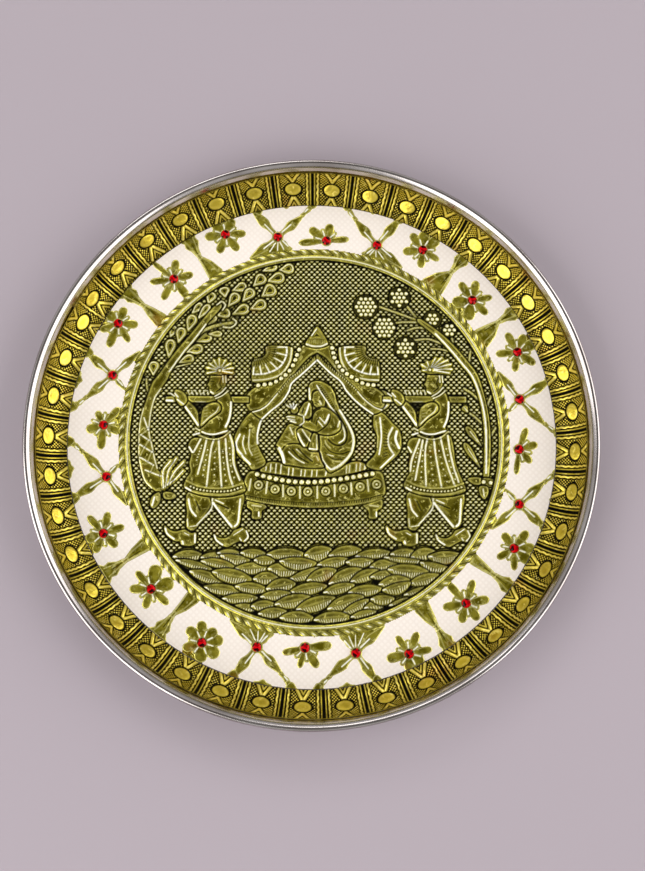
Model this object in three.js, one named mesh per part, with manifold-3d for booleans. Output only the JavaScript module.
// Enamelled serving plate (a thali): a steel dish with a rolled rim. A pressed gold disc is bonded to
// its floor and a pressed gold strip lines its wall. Cream enamel fills the disc's floral band, and
// flat-backed red stones sit in the middle of every flower.
//
// Millimetres, +Z up, the underside on z = 0 and the axis of the dish on x = y = 0. +Y is the top of the
// pictured scene. Bearings on the disc run clockwise from +Y, as on a clock face.

import * as THREE from "three";
import * as BufferGeometryUtils from "three/addons/utils/BufferGeometryUtils.js";
import Module from "manifold-3d";

const wasm = await Module();
wasm.setup();

// Sizes that can be set one by one
const PLATE_RADIUS = 140;
const PLATE_HEIGHT = 20;
const SHEET_THICKNESS = 0.8;
const COVE_RADIUS = 15;
const WALL_SLOPE = 75;
const LIP_SLOPE = 40;
const LIP_RUN = 1.26;
const LIP_BEND_RADIUS = 3;
const BEAD_RADIUS = 1.5;
const BEAD_TURN = 285;
const ADHESIVE_THICKNESS = 0.2;
const FOIL_THICKNESS = 0.4;
const RELIEF_HEIGHT = 0.6;
const ENAMEL_THICKNESS = 0.4;
const STRIP_THICKNESS = 0.35;
const STRIP_TOP_HEIGHT = 14.9;
const STRIP_START_SLOPE = 12;
const SEAM_BEARING = 298.6;
const SEAM_LAP = 2;
const SEAM_STEP = 0.55;
const DISC_OVERRUN = 2.3;
const DISC_FILM_INSET = 8.8;
const BAND_WIDTH = 23.7;
const ROPE_WIDTH = 3.7;
const RIDGE_WIDTH = 3.4;
const BAND_TURN = 3;
const ARTWORK_SHIFT = [1.3, 0.6];
const STONE_DIAMETER = 4.7;
const STONE_HEIGHT = 1.9;
const STONE_TABLE_DIAMETER = 2.4;
const STONE_GIRDLE = 0.4;
const STONE_FACETS = 8;
const STONE_SEAT_RIM = 0.7;

// Clearances between neighbouring pieces
const FILM_GAP = 0.1;
const COVE_GAP = 0.3;
const ENAMEL_GAP = 0.3;
const EDGE_GAP = 0.3;

// Facets of the round pieces
const ROUND_SEGMENTS = 48;
const COVE_STEPS = 5;
const BEAD_STEPS = 7;
const SEAT_CORNERS = 8;
const MERGE_TOLERANCE = 0.01;

const radians = THREE.MathUtils.degToRad;
const segmentAngle = 360 / ROUND_SEGMENTS;

// Levels that follow from the sizes
const adhesiveBottom = SHEET_THICKNESS + FILM_GAP;
const foilBottom = adhesiveBottom + ADHESIVE_THICKNESS + FILM_GAP;
const foilTop = foilBottom + FOIL_THICKNESS;
const reliefTop = foilTop + RELIEF_HEIGHT;
const enamelBottom = foilTop + FILM_GAP;
const coveCentreHeight = SHEET_THICKNESS + COVE_RADIUS;

// Radii that follow from the sizes, from the rim inwards
const lipCorner = wallCorner();
const floorRadius = radiusOfFloor();
const discRadius = floorRadius + DISC_OVERRUN;
const ropeOuterRadius = discRadius - BAND_WIDTH;
const medallionRadius = ropeOuterRadius - ROPE_WIDTH - RIDGE_WIDTH;

// Materials, one for each piece so that any of them can be changed alone
const finish = (name, color, roughness, metalness) =>
  new THREE.MeshStandardMaterial({ name, color, roughness, metalness });
const steelFinish = () => finish("polished_steel", 0x9a918c, 0.22, 1);
const foilFinish = () => finish("pressed_gold_foil", 0x918a28, 0.35, 1);
const stripFinish = () => finish("printed_gold_strip", 0xb08f2c, 0.35, 1);
const enamelFinish = () => finish("cream_enamel", 0xf1e6dc, 0.45, 0);
const stoneFinish = () => finish("red_glass", 0xa80818, 0.08, 0);
const adhesiveFinish = () => finish("adhesive_film", 0xd9d2b4, 0.7, 0);

/** A closed three.js geometry as a manifold solid. */
function solidOf(geometry) {
  const bare = geometry.index ? geometry.toNonIndexed() : geometry.clone();
  bare.deleteAttribute("normal");
  bare.deleteAttribute("uv");
  const merged = BufferGeometryUtils.mergeVertices(bare, 1e-4);
  const mesh = new wasm.Mesh({
    numProp: 3,
    vertProperties: new Float32Array(merged.attributes.position.array),
    triVerts: new Uint32Array(merged.index.array),
  });
  return new wasm.Manifold(mesh);
}

/** A manifold solid as a flat-shaded three.js geometry. */
function geometryOf(solid) {
  const mesh = solid.getMesh();
  const geometry = new THREE.BufferGeometry();
  const width = mesh.numProp;
  const positions = new Float32Array((mesh.vertProperties.length / width) * 3);
  for (let i = 0; i * width < mesh.vertProperties.length; i += 1) {
    positions.set(mesh.vertProperties.slice(i * width, i * width + 3), i * 3);
  }
  geometry.setAttribute("position", new THREE.BufferAttribute(positions, 3));
  geometry.setIndex(new THREE.BufferAttribute(new Uint32Array(mesh.triVerts), 1));
  geometry.computeVertexNormals();
  return geometry;
}

/** Turns a profile of [radius, height] points about the Z axis. */
function turned(profile, segments = ROUND_SEGMENTS) {
  const points = profile.map(([r, z]) => new THREE.Vector2(r, z));
  const geometry = new THREE.LatheGeometry(points, segments);
  geometry.rotateX(Math.PI / 2);
  return geometry;
}

/** Extrudes a closed outline of [x, y] points between two heights. */
function prism(outline, low, high) {
  const shape = new THREE.Shape(outline.map(([x, y]) => new THREE.Vector2(x, y)));
  const geometry = new THREE.ExtrudeGeometry(shape, { depth: high - low, bevelEnabled: false });
  geometry.translate(0, 0, low);
  return geometry;
}

/** Joins many solids into one. */
function joined(solids) {
  return solids.reduce((whole, solid) => whole.add(solid));
}

/** A point at a clock bearing in degrees and a radius from the axis. */
function atBearing(bearing, radius) {
  const a = radians(bearing);
  return [radius * Math.sin(a), radius * Math.cos(a)];
}

// The steel dish: one sheet that runs from the flat floor up a cove, bends out to a lip and curls under

/** A point on the curled bead's upper face, at the slope of the sheet there. */
function beadPoint(slope) {
  return [
    PLATE_RADIUS - BEAD_RADIUS - BEAD_RADIUS * Math.sin(radians(slope)),
    PLATE_HEIGHT - BEAD_RADIUS + BEAD_RADIUS * Math.cos(radians(slope)),
  ];
}

/** The corner where the wall's line meets the lip's line, before it is bent round. */
function wallCorner() {
  const [r, z] = beadPoint(LIP_SLOPE);
  return [r - LIP_RUN, z - LIP_RUN * Math.tan(radians(LIP_SLOPE))];
}

/** The radius of the flat floor that leaves room for the cove and for the wall up to its corner. */
function radiusOfFloor() {
  const coveTop = coveCentreHeight - COVE_RADIUS * Math.cos(radians(WALL_SLOPE));
  const wallRun = (lipCorner[1] - coveTop) / Math.tan(radians(WALL_SLOPE));
  return lipCorner[0] - wallRun - COVE_RADIUS * Math.sin(radians(WALL_SLOPE));
}

/** A point on the cove's upper face, at an angle up from the floor and at a depth below that face. */
function covePoint(angle, depth) {
  const a = radians(angle);
  const r = floorRadius + (COVE_RADIUS + depth) * Math.sin(a);
  const z = coveCentreHeight - (COVE_RADIUS + depth) * Math.cos(a);
  return [r, z];
}

/** The slopes at which the cove is cut into facets, from the strip's lower edge to the wall. */
const liningSlopes = [];
for (let i = 0; i <= COVE_STEPS; i += 1) {
  liningSlopes.push(STRIP_START_SLOPE + ((WALL_SLOPE - STRIP_START_SLOPE) * i) / COVE_STEPS);
}

/**
 * The upper face of the sheet as [radius, height, slope], from the end of the floor to the
 * end of the curl.
 */
function sheetPath() {
  const path = [0, ...liningSlopes].map((slope) => [...covePoint(slope, 0), slope]);
  path.push(...wallBend());
  for (let i = 0; i <= BEAD_STEPS; i += 1) {
    const slope = LIP_SLOPE - (BEAD_TURN * i) / BEAD_STEPS;
    path.push([...beadPoint(slope), slope]);
  }
  return path;
}

/** The end of the straight wall and the bend above it, up to the start of the lip. */
function wallBend() {
  const wall = [Math.cos(radians(WALL_SLOPE)), Math.sin(radians(WALL_SLOPE))];
  const lip = [Math.cos(radians(LIP_SLOPE)), Math.sin(radians(LIP_SLOPE))];
  const halfTurn = radians((WALL_SLOPE - LIP_SLOPE) / 2);
  const cut = LIP_BEND_RADIUS * Math.tan(halfTurn);
  const sag = LIP_BEND_RADIUS * (1 / Math.cos(halfTurn) - 1);
  const middleSlope = (WALL_SLOPE + LIP_SLOPE) / 2;
  const middle = radians(middleSlope);
  const [r, z] = lipCorner;
  return [
    [r - cut * wall[0], z - cut * wall[1], WALL_SLOPE],
    [r + sag * Math.sin(middle), z - sag * Math.cos(middle), middleSlope],
    [r + cut * lip[0], z + cut * lip[1], LIP_SLOPE],
  ];
}

/** The sheet's closed section: upper face outwards, then the lower face back to the axis. */
function sheetSection() {
  const path = sheetPath();
  const upper = path.map(([r, z]) => [r, z]);
  const lower = path.map(([r, z, slope]) => [
    r + SHEET_THICKNESS * Math.sin(radians(slope)),
    z - SHEET_THICKNESS * Math.cos(radians(slope)),
  ]);
  return [[0, 0], ...lower, ...upper.reverse(), [0, SHEET_THICKNESS]];
}

// The floral band: bearing of the middle, radius, then petals as [bearing, length, width] about the middle.
// A petal's own bearing is 0 when it points away from the axis of the dish.
const FLOWERS = [
  [0.4, 102.8, [[10, 9, 4.6], [82, 11.4, 3.6], [-55, 10.6, 4.6],
    [-98, 14, 4]]],
  [26.7, 112.4, [[-124, 9.8, 4.6], [157, 9.2, 4], [94, 9.6, 3.4],
    [-62, 10.2, 4.4], [-22, 10, 5.6], [24, 10, 5.6]]],
  [45.7, 107.5, [[-82, 11, 4.2], [-36, 10.2, 4.4], [32, 10, 3.6],
    [86, 10.2, 4], [-146, 10, 6], [146, 10.4, 6]]],
  [64, 111.9, [[-94, 11, 4.2], [-162, 10.6, 4], [122, 9.8, 3.8],
    [58, 10.4, 4.2], [-44, 9.6, 4.6], [-6, 10.6, 5.6]]],
  [90.4, 102.6, [[-20, 9.4, 4], [45, 8.6, 3.8], [95, 12.4, 3.2],
    [-73, 11.4, 3.6]]],
  [116.3, 113, [[-80, 10.6, 4.4], [-155, 8.8, 4.4], [121, 9.4, 3.8],
    [62, 10.4, 3.6], [-30, 10, 5], [12, 9.6, 5.6]]],
  [134.8, 110.6, [[-58, 11.2, 4.4], [6, 9.6, 4.4], [57, 9.4, 4.4],
    [121, 11.2, 4.4], [-119, 11.6, 4], [180, 13, 4]]],
  [153.5, 115.7, [[-78, 11, 3.6], [-134, 10.8, 4], [168, 10, 3.6],
    [100, 10.8, 4.8], [-30, 8, 5.4], [20, 8, 5.6]]],
  [179.4, 103.4, [[-36, 10.8, 4.4], [14, 9.6, 3.2], [75, 11, 3.6],
    [-98, 12.6, 4.6]]],
  [205.4, 114.6, [[-78, 10, 6], [-126, 10, 5.4], [-162, 9, 5],
    [150, 10, 5], [106, 9.8, 5], [44, 9.4, 4.6], [-24, 9, 6]]],
  [223.8, 109.6, [[-30, 9.6, 4], [43, 10.2, 4.4], [92, 11, 3.8],
    [-96, 11, 3.8], [-154, 11, 6.6], [146, 11.6, 6.6]]],
  [242.3, 114.6, [[-112, 9.2, 4.4], [-174, 10.4, 4], [126, 10.4, 4],
    [72, 11.4, 3.8], [-42, 10, 4.4], [4, 9, 5]]],
  [270.4, 106, [[-20, 8.6, 4.8], [-88, 12, 4.4], [60, 7.6, 3.6],
    [127, 11.4, 3.6], [-160, 9, 4]]],
  [297.4, 116, [[-100, 12.8, 4.4], [-152, 11, 3.6], [153, 9.8, 4.4],
    [80, 8.8, 4.4], [-52, 9.4, 4], [16, 8, 5]]],
  [315.7, 109.4, [[-56, 12, 3.8], [-10, 14, 3], [46, 10, 4.2],
    [116, 9.8, 4.2], [-112, 12, 4], [184, 12, 4.4]]],
  [333.5, 115.6, [[-74, 10.2, 4.8], [-139, 10.2, 4.4], [165, 10.6, 4.4],
    [110, 10.2, 4.2], [46, 9, 5], [-20, 8.6, 5.4]]],
];

// Crossings of four pointed leaves. Each gives the bearing and radius of its middle, whether the long outer
// leaf lies on the clockwise side, and whether enamel shows between the two inner leaves.
const CROSSINGS = [
  [14.8, 105.2, false, false],
  [76.4, 105.2, true, true],
  [105.3, 107.1, false, true],
  [166.1, 107.7, true, false],
  [192.1, 106.6, false, false],
  [256.2, 105.4, true, true],
  [284.3, 106.9, false, true],
  [346.7, 106.4, true, false],
];

// Waisted gold bars between the fields: bearing of the waist, then the spread of the foot to either side
const DIVIDERS = [
  [36.3, 9, 3.6],
  [54.6, 3, 8],
  [124.7, 3, 3],
  [144.4, 3.4, 5],
  [215.2, 6, 1.6],
  [233.6, 2.4, 5],
  [305, 4.6, 3.4],
  [324.8, 2, 6.6],
];

// The band's drawing runs between these two radii and is stretched to the disc's own. Its outermost outlines
// run on to a third, and are trimmed at the disc's edge.
const drawing = { bandInner: 98.6, bandOuter: 122.3, trim: 123.3, medallion: 91.5, bearerSpacing: 109.6 };
const outwardStretch = BAND_WIDTH / (drawing.bandOuter - drawing.bandInner);
const acrossStretch = (ropeOuterRadius + discRadius) / (drawing.bandInner + drawing.bandOuter);
const stoneSeatRadius = STONE_DIAMETER / 2 + STONE_SEAT_RIM;

/** The middle of a flower or crossing on the disc. The band is pressed a little turned and off centre. */
function bandPoint(bearing, drawnRadius) {
  const radius = ropeOuterRadius + (drawnRadius - drawing.bandInner) * outwardStretch;
  const [x, y] = atBearing(bearing + BAND_TURN, radius);
  return [x + ARTWORK_SHIFT[0], y + ARTWORK_SHIFT[1]];
}

/** A frame on the band: maps drawn [across clockwise, outwards] about a middle to [x, y]. */
function frameAt(bearing, drawnRadius) {
  const [mx, my] = bandPoint(bearing, drawnRadius);
  const a = radians(bearing + BAND_TURN);
  return ([drawnAcross, drawnOutwards]) => {
    const across = drawnAcross * acrossStretch;
    const outwards = drawnOutwards * outwardStretch;
    return [
      mx + across * Math.cos(a) + outwards * Math.sin(a),
      my - across * Math.sin(a) + outwards * Math.cos(a),
    ];
  };
}

/**
 * A rounded petal that starts inside the stone's seat and is widest past its middle.
 * grow widens it all round.
 */
function petalOutline(place, bearing, length, width, grow) {
  const a = radians(bearing);
  const long = length + grow;
  const half = width / 2 + grow;
  const points = [[0.5, 0.3 * width + grow], [0.6 * long, half], [0.9 * long, 0.72 * half]];
  const mirrored = points.map(([u, v]) => [u, -v]).reverse();
  return [...points, ...mirrored].map(([u, v]) =>
    place([u * Math.sin(a) + v * Math.cos(a), u * Math.cos(a) - v * Math.sin(a)]),
  );
}

/** A pointed leaf from one point to another, widest at a share of its length. */
function leafOutline(place, from, to, width, widest, grow) {
  const run = [to[0] - from[0], to[1] - from[1]];
  const long = Math.hypot(...run);
  const u = [run[0] / long, run[1] / long];
  const v = [-u[1], u[0]];
  const half = width / 2 + grow;
  const at = (along, across) =>
    place([from[0] + u[0] * along + v[0] * across, from[1] + u[1] * along + v[1] * across]);
  const tip = 0.5 + grow;
  return [
    at(0, -tip),
    at(widest * long, -half),
    at(long, -tip),
    at(long, tip),
    at(widest * long, half),
    at(0, tip),
  ];
}

/** The outlines of one flower: its petals and the round seat of its stone. */
function flowerOutlines([bearing, radius, petals], grow) {
  const place = frameAt(bearing, radius);
  const outlines = petals.map(([turn, length, width]) => petalOutline(place, turn, length, width, grow));
  return [...outlines, roundOutline(bandPoint(bearing, radius), stoneSeatRadius + grow, SEAT_CORNERS)];
}

/** A round outline about a middle. */
function roundOutline([x, y], radius, corners) {
  const outline = [];
  for (let i = 0; i < corners; i += 1) {
    const a = (2 * Math.PI * (i + 0.5)) / corners;
    outline.push([x + radius * Math.cos(a), y + radius * Math.sin(a)]);
  }
  return outline;
}

/**
 * The outlines of one crossing: two leaves to the outer edge, two to the rope ring, and the
 * stone's seat.
 */
function crossingOutlines([bearing, radius, longClockwise, open], grow) {
  const place = frameAt(bearing, radius);
  const side = longClockwise ? 1 : -1;
  const out = drawing.trim - radius;
  const down = drawing.bandInner - radius;
  const neck = [side * 15.2, 0.62 * out];
  const outlines = [
    leafOutline(place, [0, 0], neck, 4.2, 0.62, grow),
    leafOutline(place, [neck[0] - side * 1.2, neck[1] - 0.5], [side * 22.5, out - 2], 2.6, 0.7, grow),
    leafOutline(place, [side * 19.5, out - 4], [side * 24.5, out + 0.6], 4.6, 0.9, grow),
    leafOutline(place, [0, 0], [-side * 7.6, out + 0.6], 4.4, 0.62, grow),
    leafOutline(place, [0, 0], [-side * 16, down - 0.9], 3.8, 0.62, grow),
    leafOutline(place, [0, 0], [side * 5.4, down - 0.6], 2.4, 0.5, grow),
    roundOutline(bandPoint(bearing, radius), stoneSeatRadius + grow, SEAT_CORNERS),
  ];
  if (!open) {
    // The foot between the two inner leaves is solid gold
    outlines.push([
      place([-side * 15 - side * grow, down - 0.6]),
      place([-side * 9, down + 2 + grow]),
      place([0, down * 0.35]),
      place([side * 6 + side * grow, down - 0.6]),
    ]);
  }
  return outlines;
}

/** The outline of a small three-lobed tip that hangs from the outer edge above a crossing. */
function tipOutline([bearing, , longClockwise], grow) {
  const side = longClockwise ? 1 : -1;
  const place = frameAt(bearing + side * 3.4, drawing.trim);
  const half = 3 + grow;
  return [
    place([-half, 1.5]),
    place([-half, -1.1 - grow]),
    place([-1, -1.3 - grow]),
    place([0, -2.5 - grow]),
    place([1, -1.3 - grow]),
    place([half, -1.1 - grow]),
    place([half, 1.5]),
  ];
}

/** The outline of a waisted bar from the rope ring to the outer edge. */
function dividerOutline([bearing, footLeft, footRight], grow) {
  const place = frameAt(bearing, drawing.bandInner);
  const reach = drawing.trim - drawing.bandInner;
  const waist = 0.8 + grow;
  const head = 2.8 + grow;
  return [
    place([-footLeft - grow, -0.8]),
    place([-footLeft - grow, 0.9 + grow]),
    place([-0.62 * footLeft - grow, 0.3 * reach]),
    place([-waist, 0.5 * reach]),
    place([-1.1 - grow, 0.68 * reach]),
    place([-head, 0.9 * reach]),
    place([-head, reach + 0.6]),
    place([head, reach + 0.6]),
    place([head, 0.9 * reach]),
    place([1.1 + grow, 0.68 * reach]),
    place([waist, 0.5 * reach]),
    place([0.62 * footRight + grow, 0.3 * reach]),
    place([footRight + grow, 0.9 + grow]),
    place([footRight + grow, -0.8]),
  ];
}

/** All gold outlines of the band, each wider than drawn by grow. */
function bandOutlines(grow) {
  return [
    ...FLOWERS.flatMap((flower) => flowerOutlines(flower, grow)),
    ...CROSSINGS.flatMap((crossing) => crossingOutlines(crossing, grow)),
    ...CROSSINGS.map((crossing) => tipOutline(crossing, grow)),
    ...DIVIDERS.map((divider) => dividerOutline(divider, grow)),
  ];
}

// The medallion's raised scene: two bearers carry a curtained litter with a veiled rider on one pole,
// between two trees and above a band of water. It is drawn about the middle of the drawing's medallion and
// then scaled to the disc's own.
const sceneScale = medallionRadius / drawing.medallion;

/** The outline of a stroke that follows [x, y, width] points. */
function stroke(points) {
  const left = [];
  const right = [];
  points.forEach(([x, y, width], i) => {
    const [ax, ay] = points[Math.max(i - 1, 0)];
    const [bx, by] = points[Math.min(i + 1, points.length - 1)];
    const long = Math.hypot(bx - ax, by - ay);
    const nx = (-(by - ay) / long) * (width / 2);
    const ny = ((bx - ax) / long) * (width / 2);
    left.push([x + nx, y + ny]);
    right.push([x - nx, y - ny]);
  });
  return [...left, ...right.reverse()];
}

/** A round bloom at a place. */
function bloom([x, y, radius]) {
  return roundOutline([x, y], radius, 10);
}

/** One bearer's raised shapes, drawn for the left one and moved sideways for the right one. */
function bearerOutlines(dx) {
  const shapes = [
    // Fan of the turban, and the head below it
    [[-55, 36], [-53, 40], [-48, 42], [-43, 40], [-40.5, 36], [-44, 33], [-51, 33]],
    [[-52.5, 22], [-53.4, 26.4], [-51.6, 33.4], [-46, 33.4], [-44, 28], [-44.6, 24], [-48, 20]],
    // Trunk of the body down to the belt
    [[-43.8, 24], [-41.5, 17], [-42.6, 9], [-42.5, 1.6], [-59, 1.2], [-55, 6], [-48, 13], [-51, 20.6]],
    // Fist and forearm, then the upper arm
    [[-69.4, 24.4], [-65.6, 22], [-62.8, 17.6], [-57.2, 9], [-55.6, 5], [-58, 4.4], [-66.5, 15],
      [-70.5, 20.4]],
    [[-57, 5], [-48.4, 11], [-47.6, 15.6], [-51, 18.6], [-55.6, 15], [-58, 9]],
    // Pleated coat, wider at the hem
    [[-60.6, 0], [-62.9, -4.5], [-62.5, -13.6], [-64.7, -25.4], [-58, -28.4], [-50, -29.6], [-41, -29],
      [-34.3, -26.8], [-36, -21], [-39.7, -13.6], [-40.6, -4], [-42.5, 2.6]],
    // Legs
    [[-62.5, -28.4], [-62.9, -45.2], [-58.4, -47], [-50, -32], [-49, -28.4]],
    [[-51, -28.4], [-49.6, -31], [-40.2, -45.8], [-36.6, -43], [-35.6, -28.4]],
    // Slippers with turned-up toes
    [[-73.8, -44.6], [-70.2, -47], [-62.9, -45.4], [-58.4, -47.4], [-58.8, -52.6], [-65.2, -53.6],
      [-71.4, -50.4]],
    [[-49.7, -48.4], [-44.7, -49.9], [-40.2, -46.6], [-35.2, -45.2], [-32.2, -49.3], [-34, -52],
      [-42.9, -54.5], [-47.8, -52.9]],
  ];
  return shapes.map((shape) => shape.map(([x, y]) => [x + dx, y]));
}

/** The raised shapes of the whole scene. */
function sceneOutlines() {
  const leftTrunk = [[-77.5, -27, 1.5], [-80, -21, 9], [-83.6, -12, 7.4], [-85.2, 0, 5.6], [-84.6, 10, 4.8],
    [-82, 20, 4.6], [-76.6, 31, 6.4], [-70, 43.4, 5], [-61.5, 55, 4], [-54, 63.6, 2.6], [-49.6, 70, 2]];
  const leftBranch = [[-64, 52, 2], [-58.6, 57, 1.8], [-50, 59.8, 1.6], [-41, 60.4, 1.6]];
  const rightTrunk = [[85.4, -25, 3], [86.6, -8, 2.8], [86.6, 6, 2.8], [84.6, 19, 2.8], [81, 31, 3.8],
    [75.4, 38.8, 4], [68.6, 47.4, 3.4], [61.4, 54.4, 2.4], [53, 60.4, 2], [47.4, 67.8, 1.4]];
  const rightBranches = [
    [[52.6, 60.6, 1.4], [41, 64.8, 1.2], [32, 68, 1.2]],
    [[53, 59.8, 1.4], [46, 59.6, 1.2], [40.4, 59, 1.2]],
    [[64.6, 48.4, 1.4], [58, 50.4, 1.2], [50.4, 50, 1.2]],
  ];
  const blooms = [[26.2, 67.6, 6.2], [43.4, 72.4, 5.4], [35.6, 56.6, 5.6], [46.2, 46, 5.4], [60.2, 61, 4.2],
    [68.8, 55.4, 3.5]];
  const litter = [
    // Finial and roof
    [[1.3, 57], [-2, 53], [-4.6, 47.7], [1, 46], [6.7, 47.9], [5, 53]],
    [[-24, 47.2], [-4, 46.4], [1.2, 45], [6.4, 46.6], [24, 47.4], [29, 41], [33.6, 30], [38, 21], [36, 14],
      [29, 10.6], [20, 19.4], [14, 29], [1.3, 42.5], [-11, 29.6], [-17.8, 16.6], [-27.6, 8], [-34, 13],
      [-36.6, 20], [-32, 30], [-28.4, 38.6]],
    // Side curtains
    [[-29, 11], [-27, 6], [-29.2, -2], [-24.2, -14], [-31, -15], [-39.4, -5.6], [-39.4, -2], [-36, 6]],
    [[30, 11], [30, 6], [32.6, -2], [31, -11], [26, -15], [34, -16], [42.8, -5.4], [42.6, 2], [38, 8]],
    // Seat, rail and panelled base, which sag a little in the middle
    [[-33, -15.6], [-28.6, -14.6], [-22, -12.4], [-12, -14.6], [0, -15.6], [12, -15.6], [20, -12.4],
      [26, -13.2], [33, -16.4], [36.4, -29], [26, -32.6], [0, -34.4], [-26, -32.6], [-35.6, -28]],
    // Feet
    [[-31, -32], [-24, -33.6], [-26.4, -40], [-30.6, -40]],
    [[24.4, -33.4], [31.4, -31.6], [31, -39.6], [27, -40]],
    // Veiled rider
    [[-2.7, 26.4], [1, 28.2], [6, 27.7], [10, 24.1], [13.2, 12.7], [18.2, 6], [20.5, 1], [18.6, -8.6],
      [15, -14.1], [8.6, -16], [-14.5, -14], [-18.6, -3.6], [-11.8, 6.8], [-15, 8.6], [-12, 12],
      [-12.4, 16.4], [-8.4, 17], [-7.4, 13.6], [-2.7, 17.4]],
  ];
  const outlines = [
    stroke(leftTrunk),
    stroke(leftBranch),
    stroke(rightTrunk),
    ...rightBranches.map(stroke),
    ...blooms.map(bloom),
    ...litter,
    ...bearerOutlines(0),
    ...bearerOutlines(drawing.bearerSpacing),
    // The two ends of the carrying pole
    [[-75, 20.9], [-75, 18.1], [-33, 17.8], [-33, 20.8]],
    [[34, 20], [34, 17], [73.6, 16.6], [73.6, 19.6]],
    waterOutline(),
  ];
  const onDisc = ([x, y]) => [x * sceneScale + ARTWORK_SHIFT[0], y * sceneScale + ARTWORK_SHIFT[1]];
  return outlines.map((outline) => outline.map(onDisc));
}

/** The water: everything inside the medallion below its upper line. */
function waterOutline() {
  const radius = drawing.medallion - 0.5;
  const outline = [[-70, -57.6], [-62.9, -55.9], [-55.6, -58.4], [-42.5, -55.2], [-23.4, -58.4], [-14, -55.4],
    [-4.5, -57.5], [4, -54.2], [16, -53.8], [37.9, -57], [54.7, -55.2], [69, -58]];
  const start = Math.atan2(-58, 69);
  const end = Math.atan2(-57.6, -70);
  const steps = 14;
  for (let i = 0; i <= steps; i += 1) {
    const a = start + ((end - start) * i) / steps;
    outline.push([radius * Math.cos(a), radius * Math.sin(a)]);
  }
  return outline;
}

/** The pressed disc: a thin sheet with the ring, the band's flowers and the scene standing up from it. */
function foilDisc() {
  const low = foilBottom + FOIL_THICKNESS / 2;
  const profile = [[0, foilBottom], [discRadius, foilBottom], [discRadius, foilTop], [0, foilTop]];
  const base = solidOf(turned(profile));
  const ringBody = turned([
    [medallionRadius, low],
    [ropeOuterRadius, low],
    [ropeOuterRadius, foilTop + 0.2],
    [ropeOuterRadius - ROPE_WIDTH / 2, reliefTop + 0.1],
    [medallionRadius + RIDGE_WIDTH, foilTop + 0.15],
    [medallionRadius + 0.4 * RIDGE_WIDTH, reliefTop],
    [medallionRadius, low],
  ]);
  ringBody.translate(...ARTWORK_SHIFT, 0);
  const raised = [...bandOutlines(0), ...sceneOutlines()];
  const forms = raised.map((outline) => solidOf(prism(outline, low, reliefTop)));
  const disc = solidOf(turned([[0, foilBottom], [discRadius, foilBottom], [discRadius, reliefTop + 1],
    [0, reliefTop + 1]]));
  const relief = joined([solidOf(ringBody), ...forms]).intersect(disc);
  return base.add(relief);
}

/** The enamel fields, one solid each, clockwise from the top. */
function enamelFields() {
  const inner = ropeOuterRadius + ENAMEL_GAP;
  const high = enamelBottom + ENAMEL_THICKNESS;
  const hole = turned([[0, foilTop - 1], [inner, foilTop - 1], [inner, reliefTop + 1], [0, reliefTop + 1]]);
  hole.translate(...ARTWORK_SHIFT, 0);
  const edge = discRadius - EDGE_GAP;
  const sheet = solidOf(turned([[0, enamelBottom], [edge, enamelBottom], [edge, high], [0, high]]));
  const gold = bandOutlines(ENAMEL_GAP).map((outline) => solidOf(prism(outline, foilTop - 1, reliefTop + 1)));
  // Slivers below this volume, in cubic millimetres, are too small to be poured
  const smallestField = 8;
  const fields = sheet
    .subtract(solidOf(hole))
    .subtract(joined(gold))
    .simplify(MERGE_TOLERANCE)
    .decompose()
    .filter((field) => field.volume() > smallestField);
  // The fields are numbered from a little before the top
  const firstFieldLead = 7;
  const bearingOf = (field) => {
    const box = field.boundingBox();
    const x = (box.min[0] + box.max[0]) / 2;
    const y = (box.min[1] + box.max[1]) / 2;
    return (THREE.MathUtils.radToDeg(Math.atan2(x, y)) + 360 + firstFieldLead) % 360;
  };
  return fields.sort((a, b) => bearingOf(a) - bearingOf(b));
}

/** A flat-backed stone with a ring of crown facets round a flat table. */
function stoneGeometry() {
  const profile = [
    [0, 0],
    [STONE_DIAMETER / 2, 0],
    [STONE_DIAMETER / 2, STONE_GIRDLE],
    [STONE_TABLE_DIAMETER / 2, STONE_HEIGHT],
    [0, STONE_HEIGHT],
  ];
  return turned(profile, STONE_FACETS);
}

/** The steps up the cove and wall at one offset from the steel, from a given facet to the upper edge. */
function liningLine(offset, firstFacet, topHeight) {
  const line = liningSlopes.slice(firstFacet).map((slope) => covePoint(slope, -offset));
  const [r, z] = line[line.length - 1];
  const rise = Math.max(topHeight - z, 0.2);
  line.push([r + rise / Math.tan(radians(WALL_SLOPE)), z + rise]);
  return line;
}

/** The share of its radius at which a point lies on the flat between two facet edges, at a bearing. */
function onFacet(bearing) {
  const half = segmentAngle / 2;
  const fromMiddle = (bearing % segmentAngle) - half;
  return Math.cos(radians(half)) / Math.cos(radians(fromMiddle));
}

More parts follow.
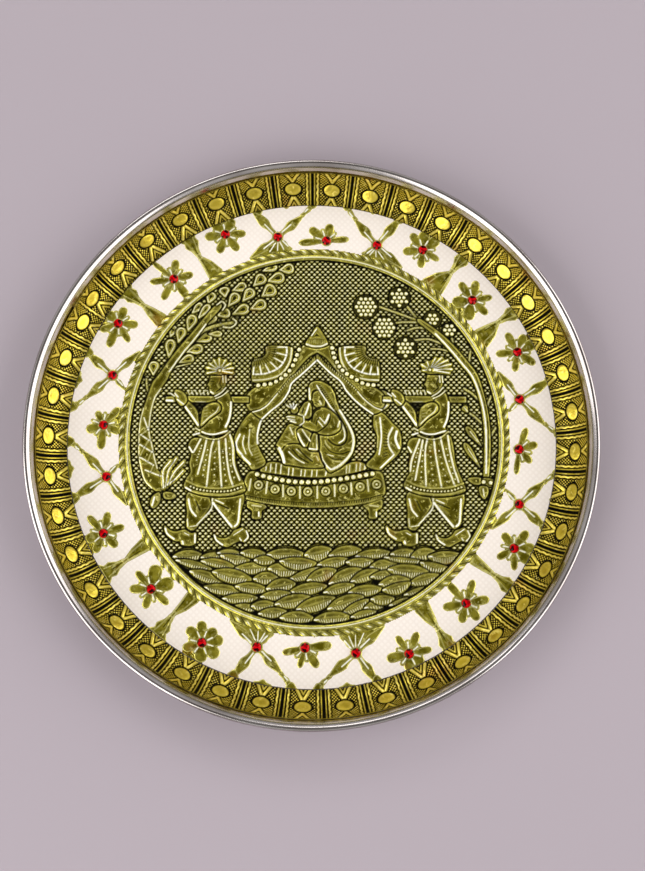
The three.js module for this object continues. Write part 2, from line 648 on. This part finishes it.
/**
 * A lining swept round the cove through the given bearings.
 * stepAt gives its extra offset at each one.
 */
function lining(offset, thickness, firstFacet, topHeight, bearings, stepAt) {
  const sections = bearings.map((bearing) => {
    const far = offset + stepAt(bearing);
    const outer = liningLine(far, firstFacet, topHeight);
    const inner = liningLine(far + thickness, firstFacet, topHeight);
    const share = onFacet(bearing);
    return [...outer, ...inner.reverse()].map(([r, z]) => [...atBearing(bearing, r * share), z]);
  });
  const count = sections[0].length;
  const positions = sections.flat(2);
  const faces = [];
  for (let s = 0; s + 1 < sections.length; s += 1) {
    for (let k = 0; k < count; k += 1) {
      const a = s * count + k;
      const b = s * count + ((k + 1) % count);
      faces.push(a, b, a + count, b, b + count, a + count);
    }
  }
  // Flat ends, closed rung by rung between the outer and the inner line
  const last = (sections.length - 1) * count;
  for (let k = 0; k + 1 < count / 2; k += 1) {
    const mirror = count - 1 - k;
    faces.push(k, mirror, k + 1, k + 1, mirror, mirror - 1);
    faces.push(last + k, last + k + 1, last + mirror, last + k + 1, last + mirror - 1, last + mirror);
  }
  const geometry = new THREE.BufferGeometry();
  geometry.setAttribute("position", new THREE.Float32BufferAttribute(positions, 3));
  geometry.setIndex(faces);
  geometry.computeVertexNormals();
  return geometry;
}

/** Bearings from one to another in whole facets, with the two ends added. */
function bearingsFrom(start, end) {
  const bearings = [start];
  for (let b = Math.floor(start / segmentAngle + 1.01) * segmentAngle; b < end - 0.01; b += segmentAngle) {
    bearings.push(b);
  }
  return [...bearings, end];
}

/** The film that bonds the strip to the wall. It stops short of the seam. */
function coveFilm() {
  const bearings = bearingsFrom(SEAM_BEARING, SEAM_BEARING + 360 - segmentAngle);
  const offset = FILM_GAP;
  const thickness = COVE_GAP - FILM_GAP;
  return lining(offset, thickness, 2, STRIP_TOP_HEIGHT - 1, bearings, () => 0);
}

/** The strip, whose end laps over its own start. */
function borderStrip() {
  const end = SEAM_BEARING + 360;
  const bearings = bearingsFrom(SEAM_BEARING, end + SEAM_LAP);
  const lastStep = end - segmentAngle;
  const stepAt = (bearing) => (bearing > lastStep + 0.01 ? SEAM_STEP : 0);
  const offset = COVE_GAP + FILM_GAP;
  return lining(offset, STRIP_THICKNESS, 0, STRIP_TOP_HEIGHT, bearings, stepAt);
}

const plate = new THREE.Group();
plate.name = "enamelled_plate";

/** Adds one named piece. */
function addPiece(name, geometry, material) {
  const mesh = new THREE.Mesh(geometry, material);
  mesh.name = name;
  plate.add(mesh);
  return mesh;
}

/** A two-figure number for the names of the repeated pieces. */
const numbered = (index) => String(index + 1).padStart(2, "0");

addPiece("steel_plate", turned(sheetSection()), steelFinish());

const filmRadius = discRadius - DISC_FILM_INSET;
const discFilm = [
  [0, adhesiveBottom],
  [filmRadius, adhesiveBottom],
  [filmRadius, adhesiveBottom + ADHESIVE_THICKNESS],
  [0, adhesiveBottom + ADHESIVE_THICKNESS],
];
addPiece("disc_adhesive", turned(discFilm), adhesiveFinish());
addPiece("strip_adhesive", coveFilm(), adhesiveFinish());
addPiece("foil_disc", geometryOf(foilDisc()), foilFinish());
addPiece("border_strip", borderStrip(), stripFinish());

enamelFields().forEach((field, i) => {
  addPiece(`enamel_field_${numbered(i)}`, geometryOf(field), enamelFinish());
});

const stonePlaces = [...FLOWERS, ...CROSSINGS].map(([bearing, radius]) => [bearing, radius]);
stonePlaces.sort((a, b) => a[0] - b[0]);
stonePlaces.forEach(([bearing, radius], i) => {
  const stone = addPiece(`red_stone_${numbered(i)}`, stoneGeometry(), stoneFinish());
  const [x, y] = bandPoint(bearing, radius);
  stone.position.set(x, y, reliefTop + FILM_GAP);
  stone.rotation.z = -radians(bearing);
});

export default plate;
